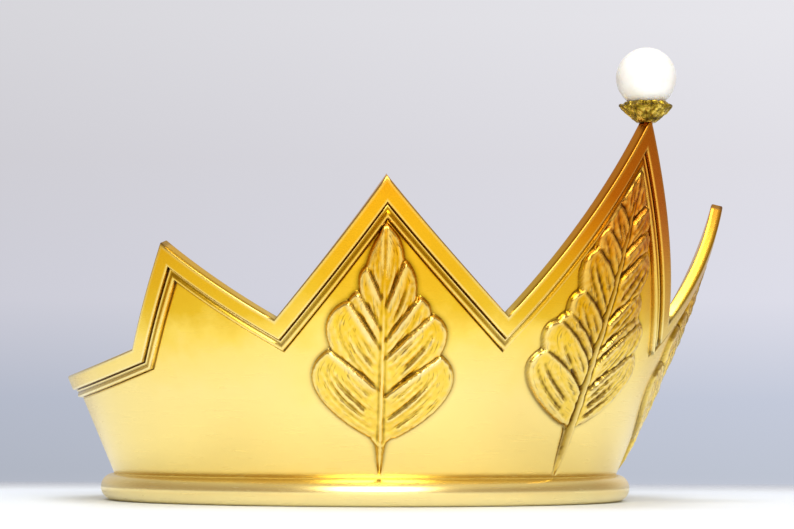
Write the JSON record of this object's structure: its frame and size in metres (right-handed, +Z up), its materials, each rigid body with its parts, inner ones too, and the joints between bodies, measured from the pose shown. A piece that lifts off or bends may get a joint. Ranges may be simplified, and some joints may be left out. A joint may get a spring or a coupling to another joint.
{
  "type": "gilded crown",
  "caption": "Flared gold crown of tooled sheet with a zigzag bordered edge, leaves in relief, a half-round foot roll and a pearl on the tall front point.",
  "frame": {"origin": "centre of the head opening, in the plane of the foot", "axes": "+Z up along the crown's axis, -Y towards the tall front point, X across, with left and right mirrored in X"},
  "size_m": [0.2528, 0.2603, 0.1598],
  "materials": {
    "gilt_sheet": "satin",
    "gilt_roll": "satin",
    "dark_gilt": "satin",
    "pearl": "gloss",
    "pin_wire": "satin"
  },
  "bodies": {
    "root": {"crown_band": "gilt_sheet", "base_roll": "gilt_roll", "pearl_cup": "dark_gilt", "pearl": "pearl", "pearl_pin": "pin_wire"}
  },
  "joints": []
}
